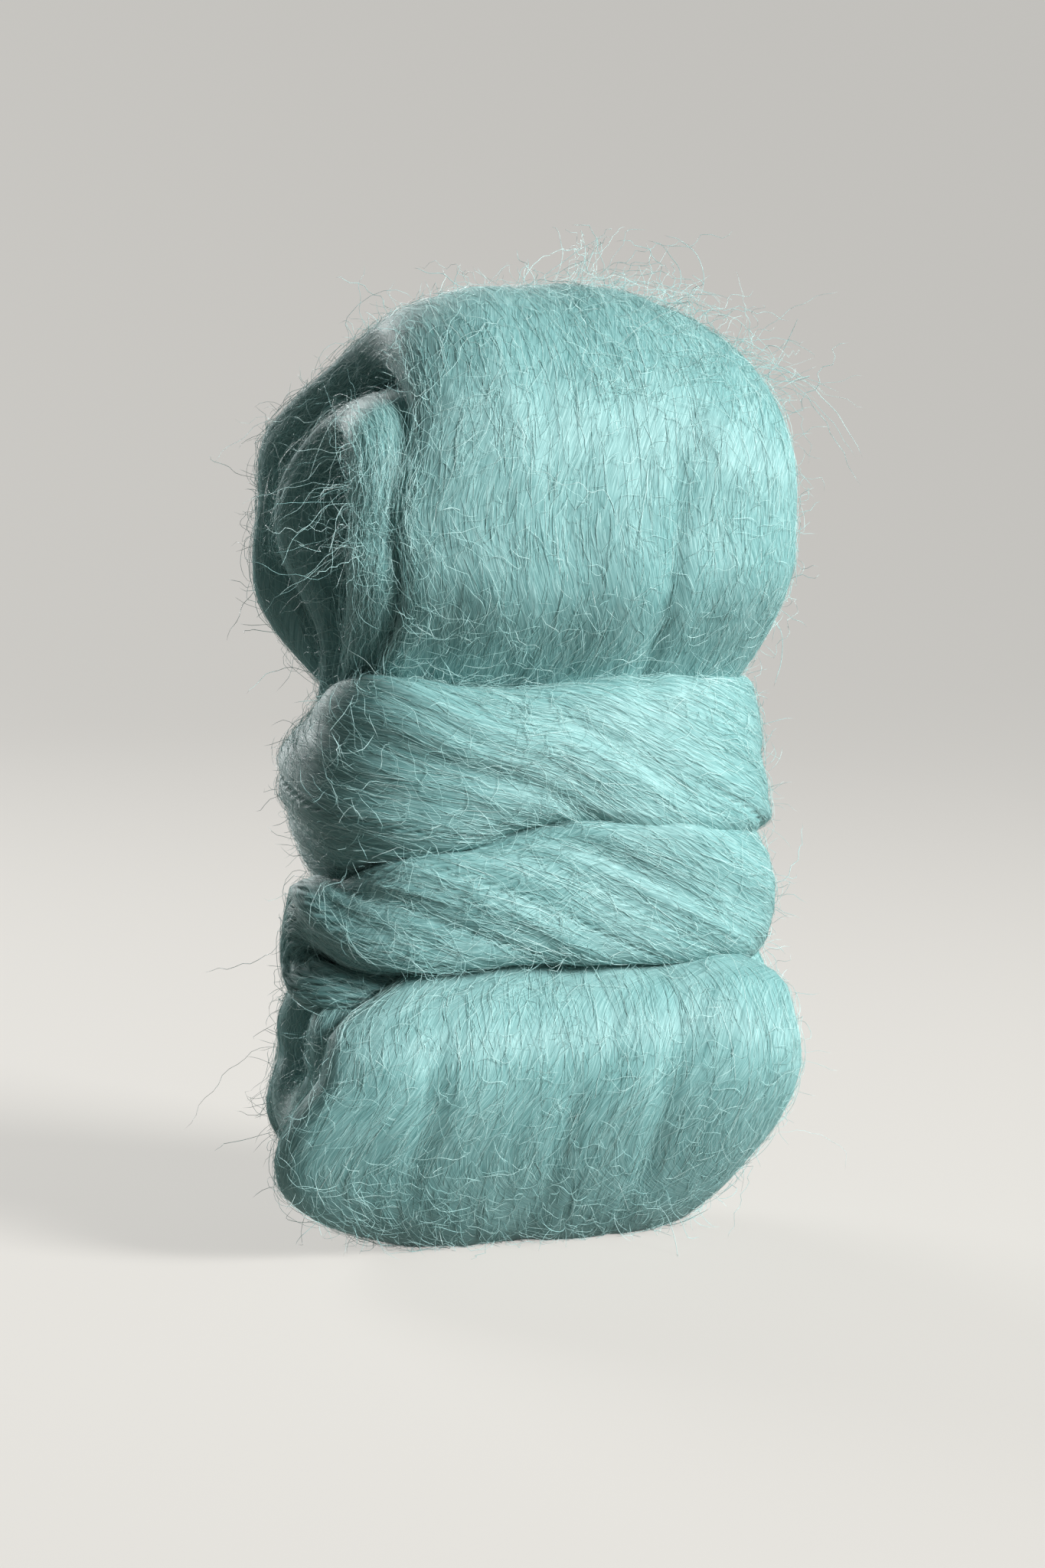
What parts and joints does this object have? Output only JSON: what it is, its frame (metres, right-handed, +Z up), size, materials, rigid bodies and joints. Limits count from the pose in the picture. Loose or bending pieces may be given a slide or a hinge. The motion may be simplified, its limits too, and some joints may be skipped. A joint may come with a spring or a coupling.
{
  "type": "hank of wool sliver",
  "caption": "Hank of dyed combed wool for spinning: one thick soft strand folded into upright loops, wound round its own waist and tucked in.",
  "frame": {"origin": "middle of the outline, on the surface that the lower fold stands on", "axes": "+X to the right and -Y to the front, as the hank is seen, and +Z up along its length"},
  "size_m": [0.087, 0.0652, 0.1599],
  "materials": {
    "wool": "dyed teal, soft fibrous, slight sheen along the fibres"
  },
  "bodies": {
    "root": {"folded_loops": "wool", "waist_wrap": "wool", "tucked_tail": "wool"}
  },
  "joints": []
}
